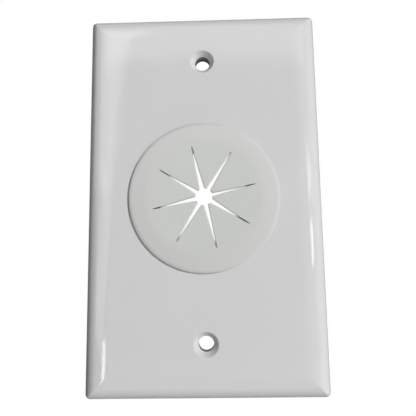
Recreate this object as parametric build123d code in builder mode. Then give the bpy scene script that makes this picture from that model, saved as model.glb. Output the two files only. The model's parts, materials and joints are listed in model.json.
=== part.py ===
"""Single-gang grommet wall plate: a moulded cover plate with a slit cable grommet snapped into its middle.

Frame: X to the right and Z up, as seen from the front. The back rim lies on the wall, in the plane Y = 0,
and the face looks towards -Y. The origin is the middle of the plate, on the wall.
"""
import os
from math import cos, radians, sin, tan

from build123d import *

# Plate outline and section
plate_width = 69.85
plate_height = 114.3
plate_depth = 6.35          # from the wall to the face
plate_wall = 2.0            # moulded thickness, the same all over
corner_radius = 1.7         # the outline's corners, seen from the front
crown_radius = 26.0         # gentle fall of the face towards its edges
crown_angle = 9.0           # slope that the crown reaches where the rolled edge takes over
roll_radius = 4.6           # rolled edge, from the crown down to the upright side
cavity_corner_radius = 0.5

# Screw holes, for countersunk 6-32 plate screws
screw_spacing = 83.34
screw_hole_diameter = 4.4
sink_diameter = 7.1
sink_angle = 82.0
sink_lip_radius = 0.35
boss_wall = 2.4             # plastic round the screw hole, behind the face
boss_recess = 1.8           # the boss stops this far short of the wall
boss_root = 0.6             # small bevel where a boss grows from the plate's wall
rib_thickness = 1.2         # stiffening ribs, from each boss out to the sides
rib_height = 2.2            # from the back of the plate's wall

# Hole in the plate that the grommet snaps into
grommet_hole_diameter = 38.1

# Grommet: flange in front, slit disc across the middle, collar and bead behind
neck_clearance = 0.1        # between the neck and the hole, all round
flange_overlap = 2.95       # the flange covers the hole's edge by this much
flange_ring = 5.5           # width of the sloping ring, in from the rim
flange_slope = 6.0          # fall of that ring, in degrees
flange_ease = 12.0          # radius that eases the flat disc into the slope
rim_round = 3.2             # shoulder that bends the slope down towards the rim
rim_slope = 26.0            # slope that the shoulder reaches
rim_edge = 0.25             # small round from the shoulder to the rim's upright side
rim_upright = 0.45          # straight side of the rim, below that edge
rim_relief = 0.15           # small bevel under the rim
disc_thickness = 2.2
collar_wall = 1.7
collar_root = 0.8           # bevel where the collar grows from the disc
seat_clearance = 0.1        # between the bead and the back of the plate's wall
bead_catch = 0.7            # the bead stands out past the hole's edge by this much
bead_land = 0.4             # straight part of the bead
bead_ramp = 1.6             # tapered lead-in that squeezes through the hole
ramp_relief = 0.5           # the collar's end is this much smaller than its neck, all round

# Star of slits
slit_count = 8
slit_turn = 13.0            # turn of the star, anticlockwise from upright
slit_margin = 2.1           # plain disc left between the slits and the collar
star_radius = 2.45          # petal tips lie on this circle
slit_mouth = 1.1            # slit width at the petal tips
slit_end = 0.1              # slit width at its outer end
petal_tip_radius = 0.4


def edge_section(half_span, depth, crown, roll):
    """Half section of the plate's form, as (distance from the middle, distance towards the front).

    From the middle: flat face, crown arc, rolled edge, upright side, flat back.
    """
    slope = radians(crown_angle)
    flat_end = (half_span - roll * (1 - sin(slope)) - crown * sin(slope), depth)
    roll_start = (half_span - roll * (1 - sin(slope)), depth - crown * (1 - cos(slope)))
    side_top = (half_span, roll_start[1] - roll * cos(slope))
    with BuildLine() as outline:
        Polyline(side_top, (half_span, 0), (0, 0), (0, depth), flat_end)
        JernArc(flat_end, (1, 0), crown, -crown_angle)
        JernArc(roll_start, (cos(slope), -sin(slope)), roll, crown_angle - 90)
    make_face(outline.edges())


def pillow_form(width, height, depth, crown, roll, corner):
    """Solid with one rolled edge on all four sides, mitred inside its corners and rounded at their outline."""
    with BuildPart() as form:
        with BuildSketch(Plane((0, 0, 0), x_dir=(1, 0, 0), z_dir=(0, 0, -1))):
            edge_section(width / 2, depth, crown, roll)
            mirror(about=Plane.YZ)
        extrude(amount=height / 2, both=True)
        with BuildSketch(Plane((0, 0, 0), x_dir=(0, 0, 1), z_dir=(1, 0, 0))):
            edge_section(height / 2, depth, crown, roll)
            mirror(about=Plane.YZ)
        extrude(amount=width / 2, both=True, mode=Mode.INTERSECT)
        # Each corner is the outermost strip of the section, turned a quarter about the corner's centre
        for side_x in (1, -1):
            for side_z in (1, -1):
                middle = (side_x * (width - corner) / 2, 0, side_z * (height - corner) / 2)
                with BuildSketch(Plane(middle, x_dir=(1, 0, 0), z_dir=(0, -1, 0))):
                    Rectangle(corner, corner)
                extrude(amount=depth, mode=Mode.SUBTRACT)
                centre = (side_x * (width / 2 - corner), 0, side_z * (height / 2 - corner))
                with BuildSketch(Plane((0, 0, centre[2]), x_dir=(side_x, 0, 0), z_dir=(0, 0, -side_x))):
                    edge_section(width / 2, depth, crown, roll)
                    with Locations(((width - corner) / 2, depth / 2)):
                        Rectangle(corner, depth, mode=Mode.INTERSECT)
                revolve(axis=Axis(centre, (0, -side_x * side_z, 0)), revolution_arc=90)
    return form.part


# Plate: one moulded shell with a screw boss at the top and the bottom
outer_form = pillow_form(plate_width, plate_height, plate_depth, crown_radius, roll_radius, corner_radius)
cavity_form = pillow_form(
    plate_width - 2 * plate_wall,
    plate_height - 2 * plate_wall,
    plate_depth - plate_wall,
    crown_radius - plate_wall,
    roll_radius - plate_wall,
    cavity_corner_radius,
)
front = Plane((0, -plate_depth, 0), x_dir=(1, 0, 0), z_dir=(0, -1, 0))
boss_end = front.offset(boss_recess - plate_depth)
boss_radius = screw_hole_diameter / 2 + boss_wall

with BuildPart() as wall_plate:
    add(outer_form)
    add(cavity_form, mode=Mode.SUBTRACT)
    with BuildSketch(boss_end):
        with GridLocations(0, screw_spacing, 1, 2):
            Circle(boss_radius)
    extrude(amount=plate_depth - plate_wall - boss_recess)
    boss_roots = wall_plate.edges(Select.LAST).filter_by(GeomType.CIRCLE).group_by(Axis.Y)[0]
    chamfer(boss_roots, boss_root)
    with BuildSketch(front.offset(-plate_wall)):
        with GridLocations(0, screw_spacing, 1, 2):
            Rectangle(plate_width - 2 * plate_wall, rib_thickness)
    extrude(amount=-rib_height)
    with Locations(front):
        Hole(grommet_hole_diameter / 2)
        with GridLocations(0, screw_spacing, 1, 2):
            CounterSinkHole(screw_hole_diameter / 2, sink_diameter / 2, counter_sink_angle=sink_angle)
    sink_mouths = wall_plate.edges(Select.LAST).filter_by(GeomType.CIRCLE).group_by(Axis.Y)[0]
    fillet(sink_mouths, sink_lip_radius)
wall_plate.part.label = "wall_plate"

# Grommet: one soft moulding, turned about the middle of the plate and then slit
hole_radius = grommet_hole_diameter / 2
neck_radius = hole_radius - neck_clearance
collar_inner = neck_radius - collar_wall
bead_radius = hole_radius + bead_catch
rim_radius = hole_radius + flange_overlap
bead_front = plate_depth - plate_wall - seat_clearance
bead_back = bead_front - bead_land
collar_end = bead_back - bead_ramp

# The flange's front is worked out from the rim inwards: edge, shoulder, slope, eased start of the flat disc
slope = radians(flange_slope)
steep = radians(rim_slope)
side_top = plate_depth + rim_upright
edge_start = (rim_radius - rim_edge * (1 - sin(steep)), side_top + rim_edge * cos(steep))
round_start = (
    edge_start[0] - rim_round * (sin(steep) - sin(slope)),
    edge_start[1] + rim_round * (cos(slope) - cos(steep)),
)
ease_start = rim_radius - flange_ring
ease_end = ease_start + flange_ease * sin(slope)
ease_height = round_start[1] + (round_start[0] - ease_end) * tan(slope)
disc_front = ease_height + flange_ease * (1 - cos(slope))
disc_back = disc_front - disc_thickness

slit_reach = collar_inner - slit_margin
slit_taper = (slit_mouth - slit_end) / (slit_reach - star_radius)
slit_middle = slit_mouth + slit_taper * star_radius

with BuildPart() as grommet:
    with BuildSketch(Plane((0, 0, 0), x_dir=(1, 0, 0), z_dir=(0, 0, -1))):
        with BuildLine():
            Line((0, disc_front), (ease_start, disc_front))
            JernArc((ease_start, disc_front), (1, 0), flange_ease, -flange_slope)
            Line((ease_end, ease_height), round_start)
            JernArc(round_start, (cos(slope), -sin(slope)), rim_round, flange_slope - rim_slope)
            JernArc(edge_start, (cos(steep), -sin(steep)), rim_edge, rim_slope - 90)
            Polyline(
                (rim_radius, side_top),
                (rim_radius, plate_depth + rim_relief),
                (rim_radius - rim_relief, plate_depth),
                (neck_radius, plate_depth),
                (neck_radius, bead_front),
                (bead_radius, bead_front),
                (bead_radius, bead_back),
                (neck_radius - ramp_relief, collar_end),
                (collar_inner, collar_end),
                (collar_inner, disc_back - collar_root),
                (collar_inner - collar_root, disc_back),
                (0, disc_back),
                (0, disc_front),
            )
        make_face()
    revolve(axis=Axis.Y)
    with BuildSketch(front.offset(disc_front - plate_depth)) as star:
        Circle(star_radius)
        with PolarLocations(0, slit_count, start_angle=90 + slit_turn):
            Polygon(
                (0, slit_middle / 2),
                (slit_reach, slit_end / 2),
                (slit_reach, -slit_end / 2),
                (0, -slit_middle / 2),
                align=None,
            )
        petal_tips = star.vertices().sort_by(SortBy.DISTANCE)[: 2 * slit_count]
        fillet(petal_tips, petal_tip_radius)
    extrude(amount=-disc_thickness, mode=Mode.SUBTRACT)
grommet.part.label = "grommet"

os.makedirs("parts", exist_ok=True)
for piece in (wall_plate.part, grommet.part):
    export_step(piece, f"parts/{piece.label}.step")
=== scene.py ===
# %% [markdown]
# # A grommet wall plate, dressed for its portrait
#
# The object is a single-gang cover plate with a soft slit grommet snapped into its middle, for leading
# cables through a wall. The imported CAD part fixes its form. This lesson gives it the fine roundings, the
# finishes and the light that a camera sees. Both pieces are drawn again as smooth meshes, because a
# glossy surface shows each facet of a CAD mesh in its reflections. The frame stays the part's own: X to
# the right, Z up, the wall at Y = 0, and the face towards -Y.

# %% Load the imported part
import json
from math import cos, pi, radians, sin, tan

import bmesh
import bpy
import numpy as np
from mathutils import Euler, Matrix, Vector


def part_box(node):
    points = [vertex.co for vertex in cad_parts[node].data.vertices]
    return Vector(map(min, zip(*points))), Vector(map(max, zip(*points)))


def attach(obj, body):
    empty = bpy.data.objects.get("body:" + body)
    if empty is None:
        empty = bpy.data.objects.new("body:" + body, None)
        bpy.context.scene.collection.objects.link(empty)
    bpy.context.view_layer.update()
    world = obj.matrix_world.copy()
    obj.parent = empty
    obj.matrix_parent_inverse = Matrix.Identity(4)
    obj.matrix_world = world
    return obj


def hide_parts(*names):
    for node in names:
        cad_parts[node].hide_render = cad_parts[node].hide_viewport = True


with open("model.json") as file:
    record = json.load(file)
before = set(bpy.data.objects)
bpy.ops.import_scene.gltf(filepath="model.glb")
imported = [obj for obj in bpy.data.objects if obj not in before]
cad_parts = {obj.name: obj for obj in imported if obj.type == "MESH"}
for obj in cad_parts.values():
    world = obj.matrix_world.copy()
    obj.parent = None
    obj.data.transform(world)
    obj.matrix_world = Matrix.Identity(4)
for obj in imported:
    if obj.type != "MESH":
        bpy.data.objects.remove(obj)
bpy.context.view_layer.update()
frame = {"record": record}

# %% [markdown]
# ## Sizes
#
# What the frame knows is read from it: the boxes of the two CAD nodes, and the screw holes from the
# record's mounts. Of the other sizes, the large ones are those of the part's source, and the fine
# roundings are this scene's own. Each stands where it is first needed. Shapes are worked out in
# millimetres and turned into metres when a mesh is made, so that the numbers stay readable.

# %% Sizes read from the frame
MM = 0.001
plate_low, plate_high = np.array(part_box("wall_plate")) / MM
grommet_low, grommet_high = np.array(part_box("grommet")) / MM
plate_width, plate_depth, plate_height = plate_high - plate_low
rim_radius = (grommet_high[0] - grommet_low[0]) / 2
disc_front = -grommet_low[1]
collar_end = -grommet_high[1]

screw_holes = next(mount for mount in frame["record"]["mounts"] if mount["name"] == "screw_holes")
bore_radius = screw_holes["dims"]["hole_r_mm"]
screw_spacing = screw_holes["dims"]["spacing_y_mm"]
boss_end = -screw_holes["pos_m"][1] / MM
print(f"plate {plate_width:.2f} x {plate_height:.2f} x {plate_depth:.2f} mm, "
      f"grommet {2 * rim_radius:.2f} mm across")

# %% [markdown]
# ## Surfaces as grids
#
# Every shape here is a function of two parameters, worked out for a whole grid of points at once with
# numpy: rows run along a section, columns run round the piece. A place on the wall plane is one complex
# number, x + iz, because turning and scaling such places is then one multiplication. Blender's own
# primitives and booleans could make rough versions of these shapes, but they leave uneven faces that a
# glossy finish shows.

# %% Angles, rounded corners and straight rows
def swing(start, end, steps):
    """Evenly spaced angles, given in degrees and returned in radians."""
    return np.radians(np.linspace(start, end, steps))


def eased(corners, reach, steps=6):
    """A polyline of (across, out) points whose inner corners are rounded.

    A corner P with unit directions a and b to its neighbours becomes the parabola
    P + reach ((1 - s)^2 a + s^2 b), with s from 0 to 1.
    """
    corners = np.array(corners, float)
    middle = corners[1:-1, None]
    behind = corners[:-2, None] - middle
    ahead = corners[2:, None] - middle
    behind /= np.linalg.norm(behind, axis=-1, keepdims=True)
    ahead /= np.linalg.norm(ahead, axis=-1, keepdims=True)
    reach = np.broadcast_to(reach, len(corners) - 2)[:, None, None]
    s = np.linspace(0, 1, steps)[None, :, None]
    curves = middle + reach * ((1 - s) ** 2 * behind + s**2 * ahead)
    return np.vstack([corners[:1], curves.reshape(-1, 2), corners[-1:]])


def ruled(start, end, steps):
    """Rows on the straight lines from each point of one loop to the same point of another."""
    share = np.linspace(0, 1, steps)[:, None]
    return start + share * (end - start)


# %% A grid of points and quads
def grid(place, height, close_rows=False):
    """A grid from places x + iz and heights out from the wall, closed to a ring along its columns.

    Returns its points (x, -height, z) and the corners of its quads.
    """
    place, height = np.broadcast_arrays(place, height)
    rows, columns = place.shape
    points = np.stack([place.real, -height, place.imag], axis=-1).reshape(-1, 3)
    row, column = np.meshgrid(np.arange(rows - (not close_rows)), np.arange(columns), indexing="ij")
    next_row, next_column = (row + 1) % rows, (column + 1) % columns
    corners = [row * columns + column, row * columns + next_column,
               next_row * columns + next_column, next_row * columns + column]
    return points, np.stack(corners, axis=-1).reshape(-1, 4)


# %% [markdown]
# ## From grids to a piece
#
# The grids of a moulding meet edge to edge. Joining them as objects would leave seams, so all their
# points go into one mesh, points that lie on each other are merged, and the faces are turned outwards. A
# Weighted Normal modifier then keeps the flats flat beside the narrow roundings. Each point also gets a
# number that says how much painted shade it takes, for the finish to read.

# %% One mesh from many grids
merge_gap = 0.0005       # points nearer than this are one point


def joined_mesh(name, grids):
    """One closed mesh in metres, from grids in millimetres."""
    all_points, all_quads = zip(*grids)
    starts = np.cumsum([0] + [len(points) for points in all_points[:-1]])
    quads = np.vstack([quads + start for quads, start in zip(all_quads, starts)])
    mesh = bpy.data.meshes.new(name)
    mesh.from_pydata((np.vstack(all_points) * MM).tolist(), [], quads.tolist())
    work = bmesh.new()
    work.from_mesh(mesh)
    bmesh.ops.remove_doubles(work, verts=work.verts, dist=merge_gap * MM)
    bmesh.ops.recalc_face_normals(work, faces=work.faces)
    open_edges = sum(not edge.is_manifold for edge in work.edges)
    volume = work.calc_volume(signed=True) / MM**3
    work.to_mesh(mesh)
    work.free()
    mesh.shade_smooth()
    print(f"{name}: {len(mesh.polygons)} faces, {open_edges} open edges, {volume:.0f} cubic mm")
    return mesh


# %% A piece that stands in for a CAD node
def make_piece(name, node, grids, grime):
    """Makes a piece of the part from grids, and lets it replace its CAD node.

    The last argument is a function of places and heights in millimetres. It says how much painted shade
    each point takes, from 0 to 1.
    """
    mesh = joined_mesh(name, grids)
    spots = np.empty(3 * len(mesh.vertices), np.float32)
    mesh.vertices.foreach_get("co", spots)
    x, y, z = spots.reshape(-1, 3).T / MM
    # how much painted shade each point takes, for the finish to read
    painted_dark = grime(x + 1j * z, -y).astype(np.float32)
    mesh.attributes.new("grime", "FLOAT", "POINT").data.foreach_set("value", painted_dark)
    piece = bpy.data.objects.new(name, mesh)
    bpy.context.scene.collection.objects.link(piece)
    piece.modifiers.new("flats stay flat", "WEIGHTED_NORMAL")
    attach(piece, "root")
    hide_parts(node)
    return piece


# %% [markdown]
# ## The plate's edge
#
# The real plate is one moulding. Its face falls away gently towards the edges, rolls over into an upright
# side and ends in a flat rim on the wall, and the back follows the front at an even wall. A box with a
# Bevel modifier would have one radius, and a kink in its reflections where the bevel starts. So the edge
# is a section of tangent arcs, which is then carried round the plate's outline.

# %% Edge section
plate_wall = 2.0
crown_radius = 26.0      # gentle fall of the face towards its edges
crown_angle = 9.0        # slope, in degrees, where the rolled edge takes over
roll_radius = 4.6        # rolled edge, from the crown down to the upright side
fine_edge = 0.15         # breaks every other edge of the plate
crown_steps, roll_steps = 10, 30

slope = radians(crown_angle)
roll_inset = roll_radius * (1 - sin(slope))
flat_inset = roll_inset + crown_radius * sin(slope)
crown_centre = plate_depth - crown_radius
roll_centre = crown_centre + (crown_radius - roll_radius) * cos(slope)
ceiling = plate_depth - plate_wall


def rolled_edge(wall):
    """Rows (inset, height) over the crown and the rolled edge, on a skin that lies `wall` below the face.

    Both arcs are inset = centre - radius sin a, height = centre + radius cos a. The angle a goes from 0 to
    the crown's slope, and on to 90 degrees.
    """
    crown = swing(0, crown_angle, crown_steps)
    roll = swing(crown_angle, 90, roll_steps)[1:]
    over, under = crown_radius - wall, roll_radius - wall
    crown_rows = [flat_inset - over * np.sin(crown), crown_centre + over * np.cos(crown)]
    roll_rows = [roll_radius - under * np.sin(roll), roll_centre + under * np.cos(roll)]
    return np.hstack([crown_rows, roll_rows]).T


rim = eased([(0, roll_centre), (0, 0), (plate_wall, 0), (plate_wall, roll_centre)], fine_edge)[1:-1]
edge_section = np.vstack([rolled_edge(0), rim, rolled_edge(plate_wall)[::-1]])
edge_inset, edge_height = edge_section.T[:, :, None]
print(f"edge section: {len(edge_section)} rows, face flat up to {flat_inset:.2f} mm from the outline")

# %% [markdown]
# ## The outline
#
# The outline is a rectangle with rounded corners. Drawn in by the section's inset, its corners follow the
# mitre lines where two rolled edges meet. On the real moulding these are fine creases, a little softer
# towards the face. Inset or bevel tools would pinch the mesh there, so every row works out its own corner
# radius, which shrinks with the inset but never below that of the crease.

# %% Corner radius at any inset
corner_radius = 1.7
crease_radius = 0.3
crease_fade = 0.06       # on the crown the crease grows rounder by this much for each millimetre inwards


def corner_round(inset):
    """Corner radius at an inset: max(corner_radius - inset, the crease's, which softens on the crown)."""
    softer = crease_fade * np.maximum(inset - roll_inset, 0)
    return np.maximum(corner_radius - inset, crease_radius + softer)


print(f"corners: {corner_round(0):.2f} mm at the outline, "
      f"{corner_round(flat_inset):.2f} mm at the flat face")

# %% Places round the outline
zone_split = 28.0        # the face is cut into three zones at this height above and below the middle
end_columns, middle_columns = 12, 32
across_columns, bend_columns = 40, 12
quarter = pi / 2

split = zone_split / (plate_height / 2 - flat_inset - corner_round(flat_inset))
middle_z = np.linspace(-split, split, middle_columns + 1)
end_z = np.linspace(split, 1, end_columns + 1)[1:]
side_z = np.concatenate([-end_z[::-1], middle_z, end_z])
side_x = np.linspace(-1, 1, across_columns + 1)
bend = swing(0, 90, bend_columns + 1)[1:-1]
one_z, one_x, one = np.ones_like(side_z), np.ones_like(side_x), np.ones_like(bend)
ring_x = np.concatenate([one_z, one, -side_x, -one, -one_z, -one, side_x, one])
ring_z = np.concatenate([side_z, one, one_x, one, -side_z, -one, -one_x, -one])
ring_turn = np.concatenate([
    0 * one_z, bend, quarter * one_x, quarter + bend,
    2 * quarter * one_z, 2 * quarter + bend, 3 * quarter * one_x, 3 * quarter + bend])


def outline(inset):
    """Rounded rectangle drawn in by an inset.

    A place is the corner's centre, times -1 to 1 along the sides, plus the corner's arc, r exp(i turn).
    """
    corner = corner_round(inset)
    half_width, half_height = plate_width / 2 - inset - corner, plate_height / 2 - inset - corner
    return half_width * ring_x + 1j * half_height * ring_z + corner * np.exp(1j * ring_turn)


edge_band = grid(outline(edge_inset), edge_height)
print(f"edge band: {len(edge_section)} rows of {len(ring_turn)} columns")

# %% [markdown]
# ## Face and back
#
# Inside the rolled edge the face is flat, with a countersunk screw hole near each end and a large hole in
# the middle. A Boolean modifier could cut the holes, but it leaves long thin faces that disturb the
# gloss. So the flat is cut into three zones, one round each hole. In each zone a section is swept round
# the hole: in across the face, down through the hole, and out again along the back.

# %% Zones of the flat, as loops of places
split_columns = 32
flat = outline(np.array(flat_inset))
left_side = len(side_z) + 2 * len(bend) + len(side_x)
right_low, right_high = end_columns, end_columns + middle_columns
left_high, left_low = left_side + right_low, left_side + right_high
across = np.linspace(-1, 1, split_columns + 1)[1:-1] * (plate_width / 2 - flat_inset)
line_up, line_down = across + 1j * zone_split, across - 1j * zone_split
top_loop = np.concatenate([flat[right_high:left_high + 1], line_up])
middle_loop = np.concatenate([
    flat[right_low:right_high + 1], line_up[::-1], flat[left_high:left_low + 1], line_down])
bottom_loop = np.concatenate([flat[left_low:], flat[:right_low + 1], line_down[::-1]])
print(f"zones: {len(top_loop)}, {len(middle_loop)} and {len(bottom_loop)} columns from top to bottom")

# %% A zone swept round its hole
face_rows = 8            # from the zone's loop to the hole, on the face and on the back


def zone(loop, centre, profile):
    """Carries a profile of (radius, height) rows round a hole, and rules face and back out to the loop.

    A row of the hole is centre + radius (loop - centre) / |loop - centre|.
    """
    spoke = (loop - centre) / np.abs(loop - centre)
    hole = centre + profile[:, :1] * spoke
    face = ruled(loop, hole[0], face_rows)[:-1]
    back = ruled(hole[-1], loop, face_rows)[1:]
    height = np.concatenate([np.full(len(face), plate_depth), profile[:, 1], np.full(len(back), ceiling)])
    return grid(np.vstack([face, hole, back]), height[:, None])


# %% [markdown]
# ## Holes
#
# The screw holes are countersunk. Behind the face they stand in bosses that stop just short of the wall,
# so their section goes down the cone and the bore, round the boss's end and up its outside. The large
# hole has plain edges, which the grommet covers. Each corner of a section is rounded as it is drawn,
# which leaves lips that catch light at no cost in faces elsewhere.

# %% Sections of the holes
sink_radius = 3.55
sink_angle = 82.0        # of the countersink's whole cone, in degrees
sink_lip = 0.14          # rounding of the cone's mouth
sink_foot = 0.1          # rounding where the cone meets the bore
boss_wall = 2.4
boss_edge = 0.2          # rounding of the boss's end
boss_root = 0.6          # rounding where the boss grows from the plate's wall
hole_radius = 19.05
sink_margin, boss_margin, hole_margin = 0.5, 1.2, 1.0    # flat that is swept along with each section

boss_radius = bore_radius + boss_wall
sink_floor = plate_depth - (sink_radius - bore_radius) / tan(radians(sink_angle / 2))
screw_profile = eased(
    [(sink_radius + sink_margin, plate_depth), (sink_radius, plate_depth), (bore_radius, sink_floor),
     (bore_radius, boss_end), (boss_radius, boss_end), (boss_radius, ceiling),
     (boss_radius + boss_margin, ceiling)],
    [sink_lip, sink_foot, fine_edge, boss_edge, boss_root], steps=9)
grommet_hole_profile = eased(
    [(hole_radius + hole_margin, plate_depth), (hole_radius, plate_depth), (hole_radius, ceiling),
     (hole_radius + hole_margin, ceiling)],
    fine_edge)
holes = [zone(top_loop, 1j * screw_spacing / 2, screw_profile),
         zone(middle_loop, 0j, grommet_hole_profile),
         zone(bottom_loop, -1j * screw_spacing / 2, screw_profile)]
print(f"screw holes: {2 * bore_radius:.1f} mm bores, countersunk to {plate_depth - sink_floor:.2f} mm deep")

# %% [markdown]
# ## Ribs
#
# Thin ribs stiffen the hollow back, from each boss out to the plate's sides, as one piece with them. A
# Boolean could weld them on, but it would cut up the even grids. So each rib is a closed bar of its own
# that starts a little inside the plastic it grows from, which looks the same.

# %% Ribs from the bosses to the sides
rib_thickness = 1.2
rib_height = 2.2
rib_sink = 0.25          # a rib starts this deep in the plastic that it grows from
rib_hidden_edge = 0.01   # rounding of its edges inside that plastic


def rib(side, middle):
    """A bar with an eased section across Z, carried along X from the boss into the plate's side.

    At both ends the section is drawn together to a point, which closes the bar.
    """
    half = rib_thickness / 2
    top, crest = ceiling + rib_sink, ceiling - rib_height
    foot = eased([(0, top), (-half, top), (-half, crest), (half, crest), (half, top), (0, top)],
                 [rib_hidden_edge, fine_edge, fine_edge, rib_hidden_edge], steps=5)[:-1]
    start, end = boss_radius - 2 * rib_sink, plate_width / 2 - plate_wall + 2 * rib_sink
    along = side * np.array([start, start, end, end])[:, None]
    swell = np.array([0, 1, 1, 0])[:, None]
    place = along + 1j * (middle + swell * foot[:, 0])
    height = ceiling + swell * (foot[:, 1] - ceiling)
    return grid(place, height)


ribs = [rib(side, end * screw_spacing / 2) for side in (-1, 1) for end in (-1, 1)]
print(f"ribs: {len(ribs)}, each {rib_thickness} mm thick and {rib_height} mm high")

# %% [markdown]
# ## Painted shade in the bores
#
# The bores below the countersinks are deep and narrow, and their shade is painted in as a dark colour.
# It could be painted by hand in Texture Paint. A short formula for each point keeps to the shape instead,
# and needs no image.

# %% Painted shade in the bores, and the plate itself
bore_painted_dark_depth = 0.15   # below the countersink the painted shade grows dark over this depth
bore_painted_dark_reach = 0.12   # and it lies on what is this near to the bore's wall


def bore_painted_shade(place, height):
    """How much painted shade a point takes: the share of the shade's depth that it lies below the
    countersink's floor.
    """
    from_bore = np.abs(np.abs(place.imag) - screw_spacing / 2 + 1j * place.real) - bore_radius
    depth = np.clip((sink_floor - height) / bore_painted_dark_depth, 0, 1)
    return depth * (from_bore < bore_painted_dark_reach)


plate = make_piece("cover_plate", "wall_plate", [edge_band, *holes, *ribs], bore_painted_shade)

# %% [markdown]
# ## The slit grommet
#
# The grommet is one soft moulding: a flange that covers the hole's edge, a disc cut into eight petals by
# tapered slits, and a collar with a bead that snaps in behind the plate. Seen from its middle, the edge
# of the star-shaped opening has one radius for each direction, so the whole grommet is one ring: its
# section runs from the opening's edge out over the front, round the rim and collar, and back to the
# opening. Only the part next to the opening follows the star.

# %% Collar, disc and the reach of the slits
neck_clearance = 0.1     # between the neck and the hole, all round
collar_wall = 1.7
slit_margin = 2.1        # plain disc left between the slits and the collar
disc_thickness = 2.2

neck_radius = hole_radius - neck_clearance
collar_inner = neck_radius - collar_wall
slit_reach = collar_inner - slit_margin
disc_back = disc_front - disc_thickness
print(f"disc {disc_back:.2f} to {disc_front:.2f} mm from the wall, slits reach {slit_reach:.2f} mm out")

# %% [markdown]
# ### Slits
#
# On the real grommet no two slits gape alike: the soft petals have set a little to one side or the other.
# Each slit has its own width at the petal tips and its own distance from the middle at which it closes.
# From there on its two walls almost touch, and only the rounded edges of the petals show, as a dark
# groove. Where a slit is open, its walls lean apart towards the back, so almost no wall shows beside the
# light. Cutting eight different slits by hand would be slow to change, so one formula gives a side of
# every slit at once.

# %% How each slit gapes, anticlockwise from the first
slit_count = 8
slit_turn = 13.0         # of the first slit, in degrees anticlockwise from upright
star_radius = 2.45       # petal tips lie on this circle
slit_mouths = np.array([1.25, 1.07, 1.20, 1.15, 1.10, 1.21, 0.80, 1.13])[:, None]
slit_closes = np.array([13.7, 12.2, 13.6, 14.3, 14.2, 11.7, 13.2, 15.0])[:, None]
hair_line = 0.005        # half the width left where a slit is closed

half_petal = pi / slit_count
taper = slit_mouths / 2 / (slit_closes - star_radius)
print(f"slits: {slit_mouths.min():.2f} to {slit_mouths.max():.2f} mm wide at the petal tips, "
      f"closed from {slit_closes.min():.1f} to {slit_closes.max():.1f} mm out")

# %% Petal tips
petal_tip = 0.4          # radius of the petals' corners
tip_steps, circle_steps = 14, 4


def petal_tips():
    """The petal's corner beside each slit, and the star's circle on to its middle, one slit to a row.

    The slit lies along +x, and its side is the line with the unit normal n = (taper + i) / |taper + i| and
    the distance d from the middle. The corner's circle touches that line and the star's circle, so its
    centre is n (e - i sqrt((star_radius + petal_tip)^2 - e^2)), with e = d + petal_tip.
    Returns the places and their normals into the disc.
    """
    side_normal = (taper + 1j) / np.abs(taper + 1j)
    from_side = (hair_line + taper * slit_closes) / np.abs(taper + 1j) + petal_tip
    along = np.sqrt((star_radius + petal_tip) ** 2 - from_side**2)
    centre = side_normal * (from_side - 1j * along)
    start, end = np.angle(-side_normal), np.angle(centre)
    tip_turn = start + np.linspace(0, 1, tip_steps) * (end - pi - start)
    circle_turn = end + np.linspace(0, 1, circle_steps)[1:] * (half_petal - end)
    tip_normal, circle_normal = -np.exp(1j * tip_turn), np.exp(1j * circle_turn)
    place = np.hstack([centre - petal_tip * tip_normal, star_radius * circle_normal])
    return place, np.hstack([tip_normal, circle_normal])


# %% Sides and ends of the slits
close_ease = 0.05        # softens the bend where a slit's walls meet
end_steps, side_steps = 7, 42


def slit_sides(tip_x):
    """The slit's rounded end and its side from there in to the petal tip, one slit to a row.

    The side is y = hair_line + (w + sqrt(w^2 + close_ease^2)) / 2, with w = taper (close - x), and the end
    is a quarter circle as wide as what is left there.
    Returns the places and their normals into the disc.
    """
    x = tip_x + np.linspace(1, 0, side_steps) * (slit_reach - tip_x)
    gape = taper * (slit_closes - x)
    root = np.sqrt(gape**2 + close_ease**2)
    half_gap = hair_line + (gape + root) / 2
    end_half = half_gap[:, :1]
    side = x - end_half * (x - tip_x) / (slit_reach - tip_x) + 1j * half_gap
    lean = taper * (1 + gape / root) / 2 + 1j
    end_normal = np.exp(1j * swing(0, 90, end_steps)[:-1]) + 0 * taper
    end = slit_reach - end_half + end_half * end_normal
    place = np.hstack([end, side[:, :-1]])
    return place, np.hstack([end_normal, (lean / np.abs(lean))[:, :-1]])


# %% Edge of the star-shaped opening
def star_edge():
    """The opening's edge and its normals: half slits, mirrored and then turned to their places."""
    tips, tip_normals = petal_tips()
    sides, side_normals = slit_sides(tips[:, :1].real)
    halves = np.hstack([sides, tips]), np.hstack([side_normals, tip_normals])
    turns = np.exp(1j * (pi / 2 + radians(slit_turn) + 2 * half_petal * np.arange(slit_count)))[:, None]
    return [(np.hstack([half[:, :0:-1].conj(), half[:, :-1]]) * turns).ravel() for half in halves]


star, star_normal = star_edge()
print(f"star: {len(star)} columns, petal tips {np.abs(star).min():.2f} mm "
      f"and slit ends {np.abs(star).max():.2f} mm out")

# %% [markdown]
# ### Flange and collar
#
# In front the flat disc eases into a sloping flange, and a shoulder bends that down to the rim. Behind, a
# neck goes through the plate, a bead catches behind its wall, and the collar tapers so that it can be
# pushed in. A Screw modifier could turn such a profile, but the star would then have to be cut out of it.
# Here the section is a list of rows, and the star's columns carry it round.

# %% Front of the flange
flange_ring = 5.5        # width of the sloping ring, in from the rim
flange_slope = 6.0       # in degrees
flange_ease = 12.0       # radius that eases the flat disc into the slope
rim_round = 3.2          # radius of the shoulder
rim_slope = 26.0         # slope that the shoulder reaches, in degrees
rim_edge = 0.25          # radius from the shoulder to the rim's upright side
rim_upright = 0.45       # straight side of the rim, below that edge
arc_steps = 9


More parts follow.
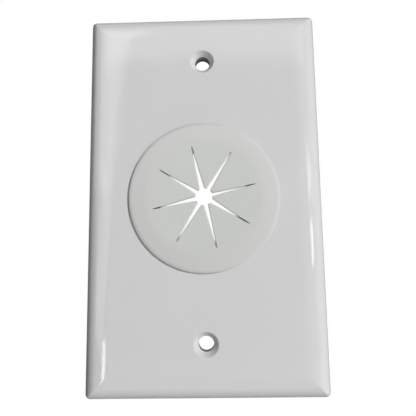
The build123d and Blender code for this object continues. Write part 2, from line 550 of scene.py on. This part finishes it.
def arc(centre, radius, start, end):
    """Rows (radius, height) of an arc, centre + radius (sin a, cos a), between two slopes in degrees."""
    angle = swing(start, end, arc_steps)
    return np.array(centre) + radius * np.transpose([np.sin(angle), np.cos(angle)])


ease_start = rim_radius - flange_ring
side_top = plate_depth + rim_upright
rim_centre = np.array([rim_radius - rim_edge, side_top])
steep = radians(rim_slope)
round_centre = rim_centre - (rim_round - rim_edge) * np.array([sin(steep), cos(steep)])
front_rows = np.vstack([
    arc((ease_start, disc_front - flange_ease), flange_ease, 0, flange_slope),
    arc(round_centre, rim_round, flange_slope, rim_slope),
    arc(rim_centre, rim_edge, rim_slope, 90)[1:],
])
print(f"flange: {len(front_rows)} rows, {disc_front - plate_depth:.2f} mm proud of the plate")

# %% Rim, neck, bead and collar
seat_clearance = 0.1     # between the bead and the back of the plate's wall
bead_catch = 0.7         # the bead stands out past the hole's edge by this much
bead_land = 0.4          # straight part of the bead
ramp_relief = 0.5        # the collar's end is this much smaller than its neck, all round
rim_relief = 0.12        # rounding under the rim
neck_ease = 0.08         # rounding at both ends of the neck
bead_front_edge = 0.12
bead_back_edge = 0.15
collar_edge = 0.25       # rounding of both edges at the collar's end
collar_root = 0.8        # rounding where the collar grows from the disc

bead_radius = hole_radius + bead_catch
bead_front = ceiling - seat_clearance
back_rows = eased(
    [(rim_radius, side_top), (rim_radius, plate_depth), (neck_radius, plate_depth),
     (neck_radius, bead_front), (bead_radius, bead_front), (bead_radius, bead_front - bead_land),
     (neck_radius - ramp_relief, collar_end), (collar_inner, collar_end), (collar_inner, disc_back),
     (collar_inner - 2 * collar_root, disc_back)],
    [rim_relief, neck_ease, neck_ease, bead_front_edge, bead_back_edge,
     collar_edge, collar_edge, collar_root],
    steps=5)[1:]
round_rows = np.vstack([front_rows, back_rows])
print(f"collar: {len(back_rows)} rows, bead {2 * bead_radius:.2f} mm across")

# %% The slits' walls and the whole ring
petal_edge = 0.3         # rounding of the petals' edges in front
petal_back_edge = 0.15   # and behind
slit_draft = 0.2         # a slit's walls lean apart by this much each, from the front to the back
wall_steps, disc_rows = 7, 9

turn = swing(0, 90, wall_steps)
wall_in = np.concatenate([slit_draft + petal_back_edge * (1 - np.sin(turn)),
                          petal_edge * (1 - np.cos(turn))])
wall_height = np.concatenate([disc_back + petal_back_edge * (1 - np.cos(turn)),
                              disc_front - petal_edge * (1 - np.sin(turn))])
wall = star + wall_in[:, None] * star_normal
spoke = wall[-1] / np.abs(wall[-1])
front_flat = ruled(wall[-1], ease_start * spoke, disc_rows)[1:-1]
turned = round_rows[:, :1] * spoke
back_flat = ruled(turned[-1], wall[0], disc_rows)[1:-1]
ring_place = np.vstack([wall, front_flat, turned, back_flat])
ring_height = np.concatenate([wall_height, np.full(len(front_flat), disc_front), round_rows[:, 1],
                              np.full(len(back_flat), disc_back)])[:, None]
print(f"grommet: {ring_place.shape[0]} rows of {ring_place.shape[1]} columns")

# %% [markdown]
# ### Sag and painted shade of the petals
#
# Soft petals don't all lie quite flat, and the closed ends of the slits are narrow grooves whose shade is
# painted in as a dark colour. A cloth simulation could bend the petals, but they sag by only a tenth of a
# millimetre, so each one gets a random sag that fades out towards the ends of its slits. The painted shade
# is measured from that sagging face down, so the faces stay unshaded.

# %% Sagging petals
petal_sag = 0.12         # most that a petal sags

petal_columns = len(star) // slit_count
petal_sags = np.random.default_rng(8).uniform(0, petal_sag, slit_count)
sag = np.roll(np.repeat(petal_sags, petal_columns), petal_columns // 2)


def freedom(place):
    """The share of its sag that a petal has at a place: (1 - r / slit_reach)^2, and 0 past the slits."""
    return np.clip(1 - np.abs(place) / slit_reach, 0, 1) ** 2


grommet_ring = grid(ring_place, ring_height - sag * freedom(ring_place), close_rows=True)
print(f"petals sag by {petal_sags.min():.3f} to {petal_sags.max():.3f} mm")

# %% Painted shade in the slits, and the grommet itself
slit_painted_dark = np.array([0.030, 0.060, 0.080, 0.045, 0.030, 0.030, 0.080, 0.060])    # painted shade is full at this depth
painted_dark_lead = 1.5          # painted shade starts this far before a slit closes
painted_dark_run = 1.2           # it comes, and thins out at the slit's end, over this length
end_depth = 0.1          # there it is full only this much deeper
unshaded_back = 0.1         # the petals' edges are unshaded this near to the back


def slit_painted_shade(place, height):
    """How much painted shade a point takes, from about where its slit closes out to its end, and 0 on the
    faces.

    It is (depth below the petal's face / depth of full shade)^2, and at most 1.
    """
    radius = np.abs(place)
    turn = (np.angle(place) - pi / 2 - radians(slit_turn)) * slit_count / (2 * pi)
    nearest = np.round(turn).astype(int) % slit_count
    face = disc_front - petal_sags[np.floor(turn).astype(int) % slit_count] * freedom(place)
    closing = np.clip((radius - slit_closes[nearest, 0] + painted_dark_lead) / painted_dark_run, 0, 1)
    thick = slit_painted_dark[nearest] + end_depth * np.clip((radius - slit_reach) / painted_dark_run + 1, 0, 1)
    inside = np.clip((face - height) / thick, 0, 1) ** 2 * (height > disc_back + unshaded_back)
    return closing * inside * (radius <= slit_reach)


grommet = make_piece("slit_grommet", "grommet", [grommet_ring], slit_painted_shade)

# %% [markdown]
# ## Wiring shader nodes in Python
#
# A procedural finish is a small calculation at each point of a surface. It could be wired by hand in the
# Shader Editor, but a script that adds every node and link gets long. So one class wraps an output
# socket: arithmetic on it adds Math nodes, and one method adds any other node.

# %% A socket that Python can calculate with
class Wire:
    """An output socket in a node tree. Arithmetic with wires adds Math nodes to the tree."""

    def __init__(self, tree, socket=None):
        self.tree = tree
        self.socket = socket

    def node(self, kind, settings=(), sockets=(), output=0):
        """Adds a node: first its settings, then a value or a wire for each socket. Returns one output."""
        made = self.tree.nodes.new(kind)
        for name, value in dict(settings).items():
            setattr(made, name, value)
        for name, value in dict(sockets).items():
            if isinstance(value, Wire):
                self.tree.links.new(value.socket, made.inputs[name])
            else:
                made.inputs[name].default_value = value
        return Wire(self.tree, made.outputs[output] if made.outputs else None)

    def math(self, operation, left, right):
        return self.node("ShaderNodeMath", {"operation": operation}, {0: left, 1: right})

    def __add__(self, other):
        return self.math("ADD", self, other)

    def __sub__(self, other):
        return self.math("SUBTRACT", self, other)

    def __rsub__(self, other):
        return self.math("SUBTRACT", other, self)

    def __mul__(self, other):
        return self.math("MULTIPLY", self, other)

    def __truediv__(self, other):
        return self.math("DIVIDE", self, other)

    def __rtruediv__(self, other):
        return self.math("DIVIDE", other, self)

    def __lt__(self, other):
        return self.math("LESS_THAN", self, other)

    def __gt__(self, other):
        return self.math("GREATER_THAN", self, other)

    __radd__ = __add__
    __rmul__ = __mul__

    def root(self):
        """The square root of this wire."""
        return self.math("SQRT", self, 0.0)

    def axes(self, names):
        """The parts of a vector along the named axes."""
        return [self.node("ShaderNodeSeparateXYZ", (), {0: self}, output=axis) for axis in names]

    def ramp(self, low, high, shape="SMOOTHSTEP"):
        """Goes from 0 to 1 while this wire goes from low to high."""
        return self.node("ShaderNodeMapRange", {"interpolation_type": shape}, {
            "Value": self, "From Min": low, "From Max": high})

    def noise(self, size, detail):
        """Soft random values round 0.5, with features about `size` millimetres across."""
        return self.node("ShaderNodeTexNoise", (), {
            "Vector": self, "Scale": 1 / (size * MM), "Detail": detail})

    def blend(self, first, second):
        """This wire as the share of the second of two colours."""
        return self.node("ShaderNodeMix", {"data_type": "RGBA"}, {0: self, 6: first, 7: second}, output=2)

    def bump(self, height):
        """A normal for a surface with bumps of this height, in millimetres."""
        return self.node("ShaderNodeBump", (), {"Strength": 1.0, "Distance": MM, "Height": height})

    def soiled(self, unshaded, painted_dark_colour):
        """A shader, mixed towards a dull dark diffuse as painted shade where the piece's attribute says so.
        """
        grime = self.node("ShaderNodeAttribute", {"attribute_name": "grime"}, output="Fac")
        painted_dark = self.node("ShaderNodeBsdfDiffuse", (), {"Color": painted_dark_colour})
        return self.node("ShaderNodeMixShader", (), {0: grime, 1: unshaded, 2: painted_dark})


# %% Giving a piece its finish
def finish(piece, name, paint):
    """Gives a piece a new material, whose surface shader is what `paint` returns."""
    material = bpy.data.materials.new(name)
    material.use_nodes = True
    material.node_tree.nodes.clear()
    start = Wire(material.node_tree)
    start.node("ShaderNodeOutputMaterial", (), {"Surface": paint(start)})
    piece.data.materials.clear()
    piece.data.materials.append(material)
    print(f"{name}: {len(material.node_tree.nodes)} nodes on {piece.name}")


# %% [markdown]
# ## Glossy plate plastic
#
# The plate is injection-moulded white plastic from a polished mould. Its colour is nearly even. What
# shows that it is real is the way reflections waver a little, from shrinkage under the skin, and that
# handling has left it slightly hazy in places, with a few specks of dust. A photo texture could hold all
# this, but noise stays sharp at any distance: long and short noise drive the bump, clouds of two sizes
# drive the colour and the haze, and single cells of a Voronoi pattern place the specks.

# %% Plate finish
plate_white = (0.612, 0.612, 0.610, 1)
plate_pale = (0.638, 0.638, 0.636, 1)
cloud_size, haze_size = 18.0, 7.0          # millimetres, as the other sizes here
waver_size, waver_height = 14.0, 0.10
ripple_size, ripple_height = 1.2, 0.010
polish, haze_dulling, speck_dulling = 0.05, 0.05, 0.3
speck_spacing = 5.5
speck_reach = 0.028                        # of the spacing
speck_share = 0.2                          # of the cells hold a speck
speck_cover = 0.35
speck_brown = (0.25, 0.23, 0.20, 1)
# colour painted into the bores as their shade
bore_painted_dark = (0.10, 0.075, 0.055, 1)


def plate_gloss(start):
    """White plastic: a clouded colour, haze and specks in its roughness, a wavering skin, and painted shade
    in the bores.
    """
    spot = start.node("ShaderNodeTexCoord", output="Object")
    clouds = spot.noise(cloud_size, 3.0)
    haze = spot.noise(haze_size, 4.0)
    cell = {"Vector": spot, "Scale": 1 / (speck_spacing * MM)}
    speck_distance, cell_colour = [start.node("ShaderNodeTexVoronoi", (), cell, output=name)
                                   for name in ("Distance", "Color")]
    speck_chance = start.node("ShaderNodeSeparateColor", (), {0: cell_colour})
    specks = (speck_distance < speck_reach) * (speck_chance > 1 - speck_share)
    colour = clouds.blend(plate_white, plate_pale)
    colour = (specks * speck_cover).blend(colour, speck_brown)
    waver = spot.noise(waver_size, 1.0) * waver_height + spot.noise(ripple_size, 1.0) * ripple_height
    roughness = polish + haze * haze_dulling + specks * speck_dulling
    gloss = start.node("ShaderNodeBsdfPrincipled", (), {
        "Base Color": colour, "Roughness": roughness, "Normal": start.bump(waver), "IOR": 1.5})
    # painted shade darkens the bores
    return start.soiled(gloss, bore_painted_dark)


finish(plate, "plate_gloss", plate_gloss)

# %% [markdown]
# ## Satin grommet
#
# The grommet is a softer plastic from a mould with a fine matt texture. Its flange is as neutral as the
# plate, and its disc is a touch greener. A clear coat or sheen would look wet or woolly here. Its shine
# is only broad and dull, so the roughness is higher, and the grain is a bump a quarter of a millimetre
# across.

# %% Grommet finish
disc_green = (0.550, 0.564, 0.538, 1)
flange_grey = (0.560, 0.564, 0.554, 1)
mottle_pale = (0.67, 0.67, 0.65, 1)
mottle_size, mottle_cover = 5.0, 0.12
green_ends = (15.0, 18.0)                  # the disc's tint fades between these distances from the middle
grain_size, grain_height = 0.25, 0.004
satin_dulling, mottle_dulling = 0.40, 0.14
# colour painted into the slits' closed ends as their shade
slit_painted_dark_brown = (0.030, 0.021, 0.016, 1)


def grommet_satin(start):
    """Soft plastic: tinted disc, neutral flange, slight mottling, fine grain, and painted shade in the
    slits.
    """
    spot = start.node("ShaderNodeTexCoord", output="Object")
    mottle = spot.noise(mottle_size, 4.0)
    grain = spot.noise(grain_size, 2.0)
    x, z = spot.axes("XZ")
    flange = (x * x + z * z).root().ramp(green_ends[0] * MM, green_ends[1] * MM, "LINEAR")
    colour = flange.blend(disc_green, flange_grey)
    colour = (mottle * mottle_cover).blend(colour, mottle_pale)
    roughness = satin_dulling + mottle * mottle_dulling
    bump = start.bump(grain * grain_height)
    satin = start.node("ShaderNodeBsdfPrincipled", (), {
        "Base Color": colour, "Roughness": roughness, "Normal": bump, "IOR": 1.48})
    # painted shade darkens the slits' closed ends
    return start.soiled(satin, slit_painted_dark_brown)


finish(grommet, "grommet_satin", grommet_satin)

# %% [markdown]
# ## Surroundings
#
# The plate is shown on white. A white world would do that, but it would also light the plate from all
# sides and wash its form out. So the world is white only to the camera, through the slits, and in
# reflections of what lies behind the plate. As light, and in reflections of what lies in front, it is dim
# like a room, so that the lamps shape the rolled edges.

# %% Surroundings
room_grey = (0.1, 0.1, 0.1, 1)
white = (1, 1, 1, 1)
behind_edge = (0.85, 0.95)     # cosines from straight behind the plate, between which white fades in


def seen(start, mirrored):
    """The share of white that a ray sees, max(camera, through, glossy x mirrored).

    A ray from the camera, or through something clear, sees all of it. One that is mirrored sees a share.
    """
    camera, glossy, through = [start.node("ShaderNodeLightPath", output=f"Is {kind} Ray")
                               for kind in ("Camera", "Glossy", "Transmission")]
    return start.math("MAXIMUM", start.math("MAXIMUM", camera, through), glossy * mirrored)


world = bpy.data.worlds.new("surroundings")
bpy.context.scene.world = world
world.use_nodes = True
world.node_tree.nodes.clear()
sky = Wire(world.node_tree)
away = sky.node("ShaderNodeTexCoord", output="Generated").axes("Y")[0]
backdrop = away.ramp(*behind_edge)
room, paper = [sky.node("ShaderNodeBackground", (), {"Color": colour, "Strength": 1.0})
               for colour in (room_grey, white)]
shown = sky.node("ShaderNodeMixShader", (), {0: seen(sky, backdrop), 1: room, 2: paper})
sky.node("ShaderNodeOutputWorld", (), {"Surface": shown})
print(f"surroundings: {len(world.node_tree.nodes)} nodes")

# %% [markdown]
# ## Floor
#
# A wall plate can't stand by itself, so it hangs upright, as if by its screws, above a pale floor. A
# floor of plain white paint would need more light than the plate can bear. So under the plate the floor
# is partly lit paint, which takes the shadow, and mostly glow, which keeps it pale. Further out it fades
# into the white.

# %% Floor
floor_level = -600.0
floor_radius = 3000.0
floor_middle = 5.0             # radius of its first ring
floor_rings, floor_spokes = 24, 96

reach = np.concatenate([[0.0], np.geomspace(floor_middle, floor_radius, floor_rings)])[:, None]
floor_points, floor_quads = grid(reach * np.exp(1j * swing(0, 360, floor_spokes + 1)[:-1]), 0.0)
floor_points = floor_points[:, [0, 2, 1]] + [0, 0, floor_level]
floor_mesh = bpy.data.meshes.new("floor")
floor_mesh.from_pydata((floor_points * MM).tolist(), [], floor_quads.tolist())
floor = bpy.data.objects.new("floor", floor_mesh)
bpy.context.scene.collection.objects.link(floor)
print(f"floor: {len(floor_quads)} faces, {2 * floor_radius * MM:.0f} m across")

# %% Floor finish
floor_fade = (450.0, 900.0)    # between these distances from the middle, its paint fades into white
paint_grey = (0.35, 0.35, 0.35, 1)
paint_share = 0.2              # of what the camera sees under the plate


def pale_floor(start):
    """Lit paint and glow, mixed by what a ray sees and by the distance from the plate."""
    x, y = start.node("ShaderNodeTexCoord", output="Object").axes("XY")
    distance = (x * x + y * y).root()
    far = distance.ramp(floor_fade[0] * MM, floor_fade[1] * MM)
    behind = (y / distance).ramp(*behind_edge)
    paint = start.node("ShaderNodeBsdfDiffuse", (), {"Color": paint_grey})
    glow = start.node("ShaderNodeEmission", (), {"Color": white, "Strength": 1.0})
    pale = seen(start, far * behind) * (1 - paint_share * (1 - far))
    return start.node("ShaderNodeMixShader", (), {0: pale, 1: paint, 2: glow})


finish(floor, "pale_floor", pale_floor)

# %% [markdown]
# ## Light
#
# The plate looks lit by windows, and its gloss mirrors parts of a room. One picture of a room round the
# scene could give both, but then neither could be set alone. So lamps share the work. A small bright
# window at the upper right casts the flange's crisp shadow, and a low one softens it. Neither is
# mirrored, because their images would be hard glints on the corners. Panels and small lamps are only
# mirrored, and draw the bands and glints on the rolled edges. A glow at the left does both, and a window
# behind lights the back.

# %% A soft box, placed as seen from the plate
def soft_box(name, at, size, brightness, tilt=0.0, distance=900.0, lighting=True, mirrored=True):
    """A rectangular lamp that faces the plate, with the power brightness times pi times its area.

    Its place (azimuth, elevation), its size (width, height) and its tilt are degrees, as seen from the
    plate's middle. Its distance is in millimetres.
    """
    turn, rise = [radians(angle) for angle in at]
    away = Vector((sin(turn) * cos(rise), -cos(turn) * cos(rise), sin(rise)))
    lamp = bpy.data.lights.new(name, "AREA")
    lamp.shape = "RECTANGLE"
    lamp.size, lamp.size_y = [2 * distance * MM * tan(radians(angle / 2)) for angle in size]
    lamp.energy = brightness * pi * lamp.size * lamp.size_y
    box = bpy.data.objects.new(name, lamp)
    facing = away.to_track_quat("Z", "Y").to_matrix() @ Matrix.Rotation(radians(tilt), 3, "Z")
    box.matrix_world = Matrix.Translation(away * distance * MM) @ facing.to_4x4()
    box.visible_camera = False
    box.visible_diffuse = lighting
    box.visible_glossy = mirrored
    bpy.context.scene.collection.objects.link(box)
    print(f"{name}: {lamp.energy:.2f} W")


# %% Windows, panels and lamps
soft_box("key_window", (42.0, 16.0), (8.0, 8.0), 145.0, distance=2500.0, mirrored=False)
soft_box("low_window", (42.0, -33.0), (20.0, 14.0), 7.8, mirrored=False)
soft_box("back_window", (180.0, 10.0), (30.0, 30.0), 8.0, mirrored=False)
soft_box("left_side_glow", (-60.0, 26.0), (34.0, 34.0), 1.2)
soft_box("upper_panel", (1.0, 42.0), (52.0, 25.0), 1.5, lighting=False)
soft_box("left_panel", (-28.7, -1.0), (14.0, 25.0), 1.6, tilt=-27.0, lighting=False)
soft_box("left_high_panel", (-25.5, 27.0), (19.0, 36.0), 2.2, tilt=-2.0, lighting=False)
soft_box("right_lamp", (32.0, 1.2), (5.0, 6.5), 8.0, lighting=False)
soft_box("right_high_lamp", (31.0, 10.0), (3.0, 4.0), 6.0, lighting=False)
soft_box("right_bar", (38.0, 12.0), (20.0, 5.0), 2.4, tilt=-17.0, lighting=False)
soft_box("low_lamp", (-25.2, -17.7), (4.4, 10.3), 8.0, tilt=-9.0, lighting=False)

# %% [markdown]
# ## Camera
#
# The picture was taken from close in front of the plate and a little below its middle, so the plate
# narrows towards its top. A camera can be matched by eye, but here its lens, place and turn were fitted
# to the plate's outline, both screw holes, the flange's rim and the ends of the slits. The lens is given
# in pixels of a square picture, and turned into millimetres.

# %% Camera
picture_side = 416
focal_pixels = 406.32
camera_place = (3.518, -123.342, -17.748)
camera_yaw, camera_pitch, camera_roll = 1.3121, 7.0569, 1.0595

lens = bpy.data.cameras.new("camera")
lens.sensor_width = 36.0
lens.lens = focal_pixels / picture_side * lens.sensor_width
lens.clip_start = 0.005
camera = bpy.data.objects.new("camera", lens)
aim = Euler([radians(angle) for angle in (camera_pitch, camera_roll, camera_yaw)], "ZXY").to_matrix()
facing = Matrix.Rotation(radians(90), 3, "X")
camera.matrix_world = Matrix.Translation(Vector(camera_place) * MM) @ (aim @ facing).to_4x4()
bpy.context.scene.collection.objects.link(camera)
bpy.context.scene.camera = camera
bpy.context.scene.view_settings.view_transform = "Standard"
print(f"camera: {lens.lens:.1f} mm lens, {-camera_place[1] - plate_depth:.0f} mm in front of the face")
